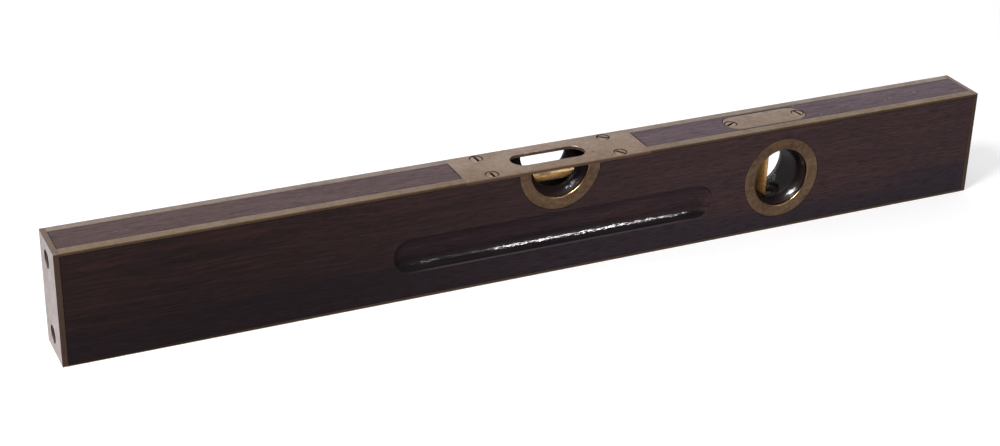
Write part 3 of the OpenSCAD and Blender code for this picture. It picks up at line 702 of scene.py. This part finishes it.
screws = {
    "end": {"head": 3.65, "cone": 2.3, "shank": 2.0, "length": 22.0, "slot": 1.1, "slotDepth": 1.6,
            "sunk": 0.5},
    "plate": {"head": 2.7, "cone": 1.8, "shank": 1.55, "length": 14.0, "slot": 1.25, "slotDepth": 1.0,
              "sunk": 0.08},
    "cover": {"head": 2.65, "cone": 1.8, "shank": 1.5, "length": 12.0, "slot": 1.2, "slotDepth": 1.0,
              "sunk": 0.08},
    "room": 0.5, "roomDeep": 0.32, "edge": 0.05, "edgeDeep": 1.2,
    "flat": 0.6, "bend": 0.25, "fall": (0.01, 0.04, 0.16, 0.3),
}
thread = {"neck": 0.45, "start": 0.5, "core": 0.8, "root": 0.82, "rise": 0.45, "pitch": 0.9, "point": 2.4}


def screwProfile(screw):
    # countersunk head with a slightly domed face, plain neck, and thread down to the point
    head = screw["head"]
    core = thread["core"] * screw["shank"]
    reach = [-screw["sunk"] - fall for fall in screws["fall"]]
    neck = -thread["neck"] * screw["length"]
    points = [(0, -screw["sunk"]), (head * screws["flat"], reach[0]), (head - screws["bend"], reach[1]),
              (head, reach[2]), (head, reach[3]), (screw["shank"], -screw["cone"]), (screw["shank"], neck)]
    height = neck - thread["start"]
    while height > -screw["length"] + thread["point"] * screw["shank"]:
        points.append((core, height))
        points.append((core * thread["root"], height - thread["rise"]))
        height -= thread["pitch"]
    points.append((core, height))
    points.append((0, -screw["length"]))
    return points


def screwRoom(screw):
    room = screw["head"] + screws["room"]
    shank = screw["shank"] + stock["fit"]
    floor = -screw["length"] - 0.1
    return turned([(0, 1), (room, 1), (room, -screws["roomDeep"]), (shank, -screw["cone"] - 0.05),
                   (shank, floor), (0, floor)], 64)


def screwSet(name, screw, seats):
    single = asPiece(turned(screwProfile(screw), 64), "single screw")
    wide = screw["head"] * 1.5
    shape(single, bar(-wide, wide, screw["slot"] / 2, -screw["slotDepth"], 1))
    soften(single, screws["edge"], 50, only=lambda co: co.z > -screws["edgeDeep"])
    whole = bmesh.new()
    for place, turn, facing in seats:
        one = bmesh.new()
        one.from_mesh(single.data)
        bmesh.ops.scale(one, vec=(1 / mm, 1 / mm, 1 / mm), verts=one.verts)
        placed(one, place, facing, turn)
        mesh = bpy.data.meshes.new("one screw")
        one.to_mesh(mesh)
        one.free()
        whole.from_mesh(mesh)
        bpy.data.meshes.remove(mesh)
    bpy.data.objects.remove(single)
    return asPiece(whole, name)


def openSeats(piece, screw, seats):
    for place, turn, facing in seats:
        shape(piece, placed(screwRoom(screws[screw]), place, facing))


# each seat's place, the turn of the slot in degrees, and the way the head faces
plateSeats = [((-32.1, -8.8, 53), -88, "Z"), ((-32.1, 8.8, 53), -87, "Z"),
              ((32.1, -8.8, 53), -56, "Z"), ((32.1, 8.8, 53), -36, "Z")]
coverSeats = [((95.4, 0, 53), 27, "Z"), ((132.2, 0, 53), -79, "Z")]
endSeats = [((-228.6, 1.2, 8.75), 20, "-X"), ((-228.6, 1.2, 44.25), 20, "-X"),
            ((228.6, 1.2, 8.75), 20, "X"), ((228.6, 1.2, 44.25), 20, "X")]

stripPieces = {"top_strip_front_left": "topStripFrontLeft", "top_strip_front_right": "topStripFrontRight",
               "top_strip_back_left": "topStripBackLeft", "top_strip_back_right": "topStripBackRight",
               "bottom_strip_front": "baseStripFront", "bottom_strip_back": "baseStripBack"}
halfWidth = stock["halfWidth"]
past = stock["past"]
fit = stock["fit"]
topFace = stock["height"]
plateUnder = topFace - stock["plateDepth"]

wood = asPiece(bar(-stock["halfLength"], stock["halfLength"], halfWidth, 0, topFace), "rosewoodStock")
for strip in stripPieces:
    low, high = [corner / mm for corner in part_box(strip)]
    side = math.copysign(past, low.y + high.y)
    under, over = (past, 0) if low.z < topFace / 2 else (0, past)
    shape(wood, block(low - Vector((past, max(-side, 0), under)), high + Vector((past, max(side, 0), over))))
shape(wood, grooveTool(-1))
shape(wood, grooveTool(1))
shape(wood, bar(-stock["plateHalf"], stock["plateHalf"], halfWidth + past, plateUnder, topFace + past))
shape(wood, placed(throatTool(sight["windowThroat"]), (0, 0, sight["windowZ"]), "Y"))
shape(wood, placed(throatTool(sight["plumbThroat"]), (sight["plumbX"], 0, sight["plumbZ"]), "Y"))
shape(wood, bar(-pocket["halfLength"], pocket["halfLength"], pocket["halfWidth"], pocket["floor"],
                topFace + past))
for side in (-1, 1):
    near, far = sorted((side * pocket["bracketFrom"], side * pocket["bracketTo"]))
    shape(wood, bar(near - fit, far + fit, pocket["bracketHalfWidth"] + fit, pocket["bracketFloor"],
                    topFace + past))
shape(wood, roundEnded(cover["length"] + 2 * cover["gap"], cover["width"] + 2 * cover["gap"],
                       plateUnder, topFace + past, (cover["x"], 0)))
reach = cover["bracketHalf"] + fit
shape(wood, bar(cover["x"] - reach, cover["x"] + reach, cover["bracketHalfWidth"] + fit,
                pocket["bracketFloor"], topFace))
shape(wood, bar(pocket["slotFrom"], pocket["boreX"], pocket["slotHalfWidth"], pocket["slotFloor"], topFace))
shape(wood, placed(rod(pocket["boreRadius"], pocket["boreFloor"], topFace - 1, 96), (pocket["boreX"], 0, 0)))
openSeats(wood, "plate", plateSeats)
openSeats(wood, "cover", coverSeats)
openSeats(wood, "end", endSeats)
dress(wood, finishes["stock_wood"], ["stock"], sharpAngle=32)
print("stock carved,", len(wood.data.polygons), "faces")


# Brass edge strips, with small soft edges that draw the joints

stripEdge = {"soft": 0.14, "segments": 2}
for node, name in stripPieces.items():
    strip = asPiece(nodeBlock(node), name)
    soften(strip, stripEdge["soft"], 60, stripEdge["segments"])
    dress(strip, finishes["strip_brass"], [node])
print("strips laid")


# Plates

plate = {"slotLength": 36.6, "slotWidth": 11.6, "slotX": -0.5, "cutFrom": 50, "cutTo": 55, "rim": 0.28,
         "rimReach": 20, "rimFrom": 52, "edge": 0.1, "edgeFrom": 25, "endEdge": 0.16}

topPlate = asPiece(nodeBlock("level_top_plate"), "sightPlate")
shape(topPlate, roundEnded(plate["slotLength"], plate["slotWidth"], plate["cutFrom"], plate["cutTo"],
                           (plate["slotX"], 0), 96))
soften(topPlate, plate["rim"], 60, 3,
       only=lambda co: abs(co.x) < plate["rimReach"] and co.z > plate["rimFrom"])
soften(topPlate, plate["edge"], 60, 2, only=lambda co: abs(co.x) > plate["edgeFrom"])
openSeats(topPlate, "plate", plateSeats)
dress(topPlate, finishes["old_brass"], ["level_top_plate"])

coverPlate = asPiece(roundEnded(cover["length"], cover["width"], plateUnder, topFace, (cover["x"], 0), 96),
                     "coverPlate")
soften(coverPlate, cover["edge"], 60, 2)
openSeats(coverPlate, "cover", coverSeats)
dress(coverPlate, finishes["old_brass"], ["plumb_cover_plate"])

for node, name, end in (("left_end_plate", "endPlateLeft", "-X"), ("right_end_plate", "endPlateRight", "X")):
    endPlate = asPiece(nodeBlock(node), name)
    soften(endPlate, plate["endEdge"], 60, 3)
    openSeats(endPlate, "end", [seat for seat in endSeats if seat[2] == end])
    dress(endPlate, finishes["lit_end_plate_brass"], [node])

dress(screwSet("endScrews", screws["end"], endSeats), finishes["shaded_end_screw_brass"],
      ["end_plate_screws"])
dress(screwSet("plateScrews", screws["plate"], plateSeats), finishes["screw_brass"],
      ["top_plate_screws"])
dress(screwSet("coverScrews", screws["cover"], coverSeats), finishes["screw_brass"],
      ["plumb_cover_screws"])
print("plates and screws set")


# Rings round the sight openings, with a rolled inner lip

def sightRing(name, x, z, side, node, cutAt=None):
    inner = sight["mouthRadius"]
    lip = sight["lip"]
    deep = -sight["ringDepth"]
    outer = sight["ringRadius"]
    soft = sight["edge"]
    profile = [(outer - soft, 0), (outer, -soft), (outer, deep), (inner, deep),
               *arcPoints((inner + lip, -lip), lip, 180, 90, 8)]
    bm = placed(turned(profile, 160, closed=True), (x, side * halfWidth, z), "Y" if side > 0 else "-Y")
    if cutAt:
        bmesh.ops.bisect_plane(bm, geom=bm.verts[:] + bm.edges[:] + bm.faces[:], dist=1e-5,
                               plane_co=(0, 0, cutAt), plane_no=(0, 0, 1), clear_outer=True)
        bmesh.ops.holes_fill(bm, edges=[e for e in bm.edges if e.is_boundary], sides=0)
        faceOut(bm)
    ring = asPiece(bm, name)
    return dress(ring, finishes["ring_brass"], [node], sharpAngle=50)


sightRing("windowRingFront", 0, sight["windowZ"], -1, "window_ring_front", plateUnder)
sightRing("windowRingBack", 0, sight["windowZ"], 1, "window_ring_back", plateUnder)
sightRing("plumbRingFront", sight["plumbX"], sight["plumbZ"], -1, "plumb_ring_front")
sightRing("plumbRingBack", sight["plumbX"], sight["plumbZ"], 1, "plumb_ring_back")
print("rings turned")


# Vial cases: a closed tube cut to a trough, with the parts that carry it

case = {"wall": 0.45, "endWall": 1.2, "edge": 0.08, "pin": 1.05, "tongue": 2.2, "tongueWidth": 6.0,
        "armThick": 2.0, "nutBore": 1.25, "nutCut": 5.0, "past": 10.0}
levelCase = {"z": 45.8, "radius": 4.8, "half": 33.0, "windowHalf": 22.5, "arm": 40.0, "armWidth": 7.2}
plumbCase = {"x": 118.1, "z": 26.5, "radius": 5.8, "half": 17.0, "windowHalf": 13.0, "cutX": -3.2,
             "pivotZ": 46.4, "arm": 11.5}


def caseTube(name, look, place, axis):
    rim = case["edge"]
    outer = look["radius"]
    half = look["half"]
    outline = [(0, -half), (outer - rim, -half), (outer, -half + rim), (outer, half - rim),
               (outer - rim, half), (0, half)]
    tube = asPiece(placed(turned(outline), place, axis), name)
    inside = half - case["endWall"]
    shape(tube, placed(rod(outer - case["wall"], -inside, inside, 96), place, axis))
    return tube


def pinRound(radius, width, place):
    return placed(rod(radius, -width / 2, width / 2, 48), place, "Y")


def addCarrier(tube, tongue, pinAt, arm, nutRadius, nutAt):
    # a tongue with an eye for the pin, and an arm that ends in a round nut for the adjusting screw
    thick = case["armThick"] / 2
    shape(tube, bar(*tongue), "UNION")
    shape(tube, pinRound(case["tongue"], case["tongueWidth"], pinAt), "UNION")
    shape(tube, bar(*arm), "UNION")
    shape(tube, placed(rod(nutRadius, -thick, thick, 64), nutAt), "UNION")
    shape(tube, pinRound(case["pin"], 2 * case["past"], pinAt))
    shape(tube, placed(rod(case["nutBore"], -case["nutCut"], case["nutCut"], 48), nutAt))


out = case["past"]
thick = case["armThick"] / 2
tongue = case["tongue"]
tongueHalf = case["tongueWidth"] / 2

levelZ = levelCase["z"]
reach = levelCase["windowHalf"]
shoulder = levelCase["half"] - case["endWall"] / 2
armEnd = levelCase["arm"]
nutRadius = levelCase["armWidth"] / 2
levelTube = caseTube("levelCase", levelCase, (0, 0, levelZ), "X")
shape(levelTube, bar(-reach, reach, out, levelZ, levelZ + out))
addCarrier(levelTube, (-armEnd, -shoulder, tongueHalf, levelZ - tongue, levelZ + tongue),
           (-armEnd, 0, levelZ), (shoulder, armEnd, nutRadius, levelZ - thick, levelZ + thick),
           nutRadius, (armEnd, 0, levelZ))
soften(levelTube, case["edge"], 60, 2, only=lambda co: abs(co.x) < levelCase["windowHalf"] + 0.5)
dress(levelTube, finishes["case_brass"], ["level_vial_case"], "level_case")

plumbX = plumbCase["x"]
plumbZ = plumbCase["z"]
pivotZ = plumbCase["pivotZ"]
reach = plumbCase["windowHalf"]
shoulder = plumbZ + plumbCase["half"] - case["endWall"] / 2
armEnd = plumbX - plumbCase["arm"]
plumbTube = caseTube("plumbCase", plumbCase, (plumbX, 0, plumbZ), "Z")
shape(plumbTube, bar(plumbX + plumbCase["cutX"], plumbX + out, out, plumbZ - reach, plumbZ + reach))
addCarrier(plumbTube, (plumbX - tongue, plumbX + tongue, tongueHalf, shoulder, pivotZ),
           (plumbX, 0, pivotZ), (armEnd, plumbX, tongueHalf, pivotZ - thick, pivotZ + thick),
           tongueHalf, (armEnd, 0, pivotZ))
soften(plumbTube, case["edge"], 60, 2, only=lambda co: abs(co.z - plumbZ) < plumbCase["windowHalf"] + 1)
dress(plumbTube, finishes["case_brass"], ["plumb_vial_case"], "plumb_case")
print("cases cut")


# Vials: glass, spirit and bubble

vial = {"radius": 4.1, "cavity": 3.3, "wall": 0.8, "end": 1.6, "cavityEnd": 1.2, "crown": 2000.0,
        "gap": 0.03, "levelHalf": 30.5, "plumbHalf": 14.5, "plumbBubble": 7.3, "bubbleHalf": 5.0,
        "bubbleWidth": 2.475, "bubbleLow": 0.975, "bubbleTop": 3.0, "bubbleWaist": 1.45}
beds = {"fit": 0.03125, "under": 1.3, "mouth": 13.0, "top": 12.3}


def barrelProfile(half, gap):
    end = half - gap
    soft = vial["cavityEnd"]
    side = []
    for i in range(-10, 11):
        z = i / 10 * (end - soft)
        side.append((vial["cavity"] - gap - z * z / (2 * vial["crown"]), z))
    last = side[-1][0] - soft
    dome = arcPoints((last, end - soft), soft, 15, 90, 6)
    return [(0, -end), *[(r, -z) for r, z in reversed(dome)], *side, *dome, (0, end)]


def vialPieces(prefix, half, place, axis, body, bubbleShift):
    soft = vial["end"]
    outline = [(0, -half), *arcPoints((vial["radius"] - soft, -half + soft), soft, -90, 0, 8),
               *arcPoints((vial["radius"] - soft, half - soft), soft, 0, 90, 8), (0, half)]
    glass = asPiece(placed(turned(outline), place, axis), prefix + "Glass")
    shape(glass, placed(turned(barrelProfile(half - vial["wall"], 0)), place, axis))
    dress(glass, finishes["vial_glass"], [f"{prefix}_vial_glass"], body + "_case")
    spirit = asPiece(placed(turned(barrelProfile(half - vial["wall"], vial["gap"])), place, axis),
                     prefix + "Spirit")
    dress(spirit, finishes["spirit"], [f"{prefix}_spirit"], body + "_case")
    # the bubble is a sphere drawn out along the vial, domed on the side where it lies on the glass
    bm = bmesh.new()
    wide = vial["bubbleWidth"]
    waist = vial["bubbleWaist"]
    bmesh.ops.create_uvsphere(bm, u_segments=48, v_segments=25, radius=wide, matrix=Matrix())
    for end in (-1, 1):
        drawn = [v for v in bm.verts if v.co.z * end > 0]
        slide(bm, (0, 0, end * (vial["bubbleHalf"] - wide)), drawn)
    for side, reach in ((1, vial["bubbleTop"] - waist), (-1, waist - vial["bubbleLow"])):
        pressed = [v for v in bm.verts if v.co.x * side > 0]
        bmesh.ops.scale(bm, vec=(reach / wide, 1, 1), verts=pressed)
    slide(bm, (waist, 0, bubbleShift))
    bubble = asPiece(placed(bm, place, axis), prefix + "Bubble")
    dress(bubble, finishes["bubble"], [f"{prefix}_bubble"], body + "_air")


def vialBeds(name, half, caseInside, place):
    # plaster that fills the closed ends of a case and slopes up to the glass
    outer = caseInside - beds["fit"]
    inner = vial["radius"] + beds["fit"]
    foot = half + beds["under"] - beds["fit"]
    under = half + beds["fit"]
    profile = [(0, -foot), (outer, -foot), (outer, -beds["mouth"]), (inner, -beds["top"]), (inner, -under),
               (0, -under)]
    piece = asPiece(placed(turned(profile), place), name)
    shape(piece, placed(turned(profile), place, "-Z"), "UNION")
    return piece


vialPieces("level", vial["levelHalf"], (0, 0, levelZ), "-X", "level", 0)
vialPieces("plumb", vial["plumbHalf"], (plumbX, 0, plumbZ), "Z", "plumb", vial["plumbBubble"])
plumbBeds = vialBeds("plumbBeds", vial["plumbHalf"], plumbCase["radius"] - case["wall"], (plumbX, 0, plumbZ))
dress(plumbBeds, finishes["plaster"], ["plumb_vial_bedding"], "plumb_case")
print("vials filled")


# Adjuster springs, wound round their screws

springs = {
    "level": {"x": 40.0, "low": 46.8, "high": 50.4, "turns": 3.0, "keep": 0.81, "joint": "level_tilt"},
    "plumb": {"x": 106.6, "low": 47.4, "high": 50.4, "turns": 2.5, "keep": 0.92, "joint": "plumb_tilt"},
    "wire": 0.25, "mean": 2.1, "seat": 0.04, "stepsPerTurn": 32,
}


def adjusterSpring(name, spring):
    wireRadius = springs["wire"]
    low = spring["low"] + springs["seat"] + wireRadius
    high = spring["high"] - springs["seat"] - wireRadius
    steps = int(spring["turns"] * springs["stepsPerTurn"])
    bm = bmesh.new()
    ringLay = Matrix.Translation((springs["mean"], 0, low)) @ Matrix.Rotation(math.pi / 2, 4, "X")
    made = bmesh.ops.create_circle(bm, segments=12, radius=wireRadius, matrix=ringLay)
    bmesh.ops.spin(bm, geom=made["verts"] + bm.edges[:], cent=(0, 0, 0), axis=(0, 0, 1),
                   dvec=(0, 0, (high - low) / steps), angle=math.tau * spring["turns"], steps=steps)
    bmesh.ops.holes_fill(bm, edges=[e for e in bm.edges if e.is_boundary], sides=0)
    faceOut(bm)
    slide(bm, (spring["x"], 0, 0))
    coil = asPiece(bm, name)
    dress(coil, finishes["spring_wire"], [], "body", 60)
    return coil


for key in ("level", "plumb"):
    coil = adjusterSpring(key + "Spring", springs[key])
    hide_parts(f"{key}_adjusting_spring")
    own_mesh(coil)
print("springs wound")


# Solids that stay as they are, under their finishes

keptNodes = {
    "inner_brass": ("level_hinge_bracket", "level_adjuster_bracket", "plumb_bracket",
                    "level_adjusting_screw", "plumb_adjusting_screw"),
    "screw_brass": ("level_bracket_screws", "plumb_bracket_screws", "level_hinge_pin", "plumb_pivot_pin"),
    "plaster": ("level_vial_bedding",),
}
for finish, nodes in keptNodes.items():
    for node in nodes:
        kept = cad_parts[node]
        kept.data.materials.clear()
        kept.data.materials.append(finishes[finish])


# Floor, surroundings and lamps

stage = {"floorHalf": 4.0, "floorShade": (0.80, 0.80, 0.82), "floorLift": 0.39, "glossLift": 0.10,
         "diffuseSky": 0.56, "nearSky": 0.12, "farSky": 1.0}


def floorFinish():
    material, tree, surface, place = startFinish("pale floor")
    grain = noiseAt(tree, place, (6, 6, 6), 2)
    path = addNode(tree, "LightPath").outputs
    seen = most(tree, path["Is Camera Ray"], path["Is Transmission Ray"])
    lift = weighted(tree, seen, stage["floorLift"], path["Is Glossy Ray"], stage["glossLift"])
    shade = stage["floorShade"]
    wire(tree, surface, {"Base Color": ramp(tree, grain, [(0.3, shaded(shade, 0.985)), (0.7, shade)]),
                         "Roughness": 0.9, "Specular IOR Level": 0.0, "Emission Color": (1, 1, 1, 1),
                         "Emission Strength": lift})
    return material


bm = bmesh.new()
bmesh.ops.create_grid(bm, x_segments=4, y_segments=4, size=stage["floorHalf"] / mm)
floor = asPiece(bm, "floor")
floor.data.materials.append(floorFinish())

world = bpy.data.worlds.new("studio")
bpy.context.scene.world = world
world.use_nodes = True
sky = world.node_tree
back = sky.nodes["Background"]
heading = addNode(sky, "SeparateXYZ", {0: addNode(sky, "TexCoord").outputs["Generated"]}).outputs
lightPath = addNode(sky, "LightPath").outputs
far = between(sky, heading[1], -0.6, 0.3, stage["nearSky"], stage["farSky"])
plain = most(sky, lightPath["Is Camera Ray"], lightPath["Is Transmission Ray"])
glossy = addNode(sky, "Mix", {0: lightPath["Is Glossy Ray"], 2: stage["diffuseSky"], 3: far}).outputs[0]
back.inputs["Color"].default_value = (1, 1, 1, 1)
sky.links.new(addNode(sky, "Mix", {0: plain, 2: glossy, 3: 1.0}).outputs[0], back.inputs["Strength"])

lampAim = (0, 0, 0.03)
lamps = {
    "key": {"from": (-0.55, -0.30, 0.80), "distance": 1.2, "size": (0.26, 0.26), "power": 8.0,
            "colour": (1.0, 0.98, 0.95)},
    "strip": {"from": (0.42, -0.72, 0.555), "distance": 1.5, "size": (0.25, 0.06), "power": 7.5,
              "colour": (1.0, 0.93, 0.97), "glossOnly": True},
    "spark": {"from": (-0.34, -0.23, 0.91), "distance": 1.2, "size": (0.26, 0.26), "power": 24.0,
              "colour": (1.0, 0.98, 0.97), "glossOnly": True},
}


def hangLamp(name, lamp):
    data = bpy.data.lights.new(name, "AREA")
    data.shape = "RECTANGLE"
    data.size = lamp["size"][0]
    data.size_y = lamp["size"][1]
    data.energy = lamp["power"]
    data.color = lamp["colour"]
    light = bpy.data.objects.new(name, data)
    direction = Vector(lamp["from"]).normalized()
    light.location = direction * lamp["distance"] + Vector(lampAim)
    light.rotation_euler = direction.to_track_quat("Z", "Y").to_euler()
    light.visible_camera = False
    light.visible_diffuse = not lamp.get("glossOnly", False)
    bpy.context.scene.collection.objects.link(light)


for name, lamp in lamps.items():
    hangLamp(name + "Lamp", lamp)

camera = {"place": (-0.36523, -0.72682, 0.42580), "aim": (-0.02345, 0.0, 0.02301), "roll": 1.461,
          "lens": 71.03, "sensor": 36.0}
eye = bpy.data.objects.new("camera", bpy.data.cameras.new("camera"))
eye.data.lens = camera["lens"]
eye.data.sensor_width = camera["sensor"]
eye.data.clip_start = 0.01
eye.location = camera["place"]
towards = (Vector(camera["aim"]) - Vector(camera["place"])).to_track_quat("-Z", "Y")
rolled = towards.to_matrix().to_4x4() @ Matrix.Rotation(math.radians(camera["roll"]), 4, "Z")
eye.rotation_euler = rolled.to_euler()
bpy.context.scene.collection.objects.link(eye)
bpy.context.scene.camera = eye
bpy.context.scene.view_settings.view_transform = "Standard"
print("stage set")
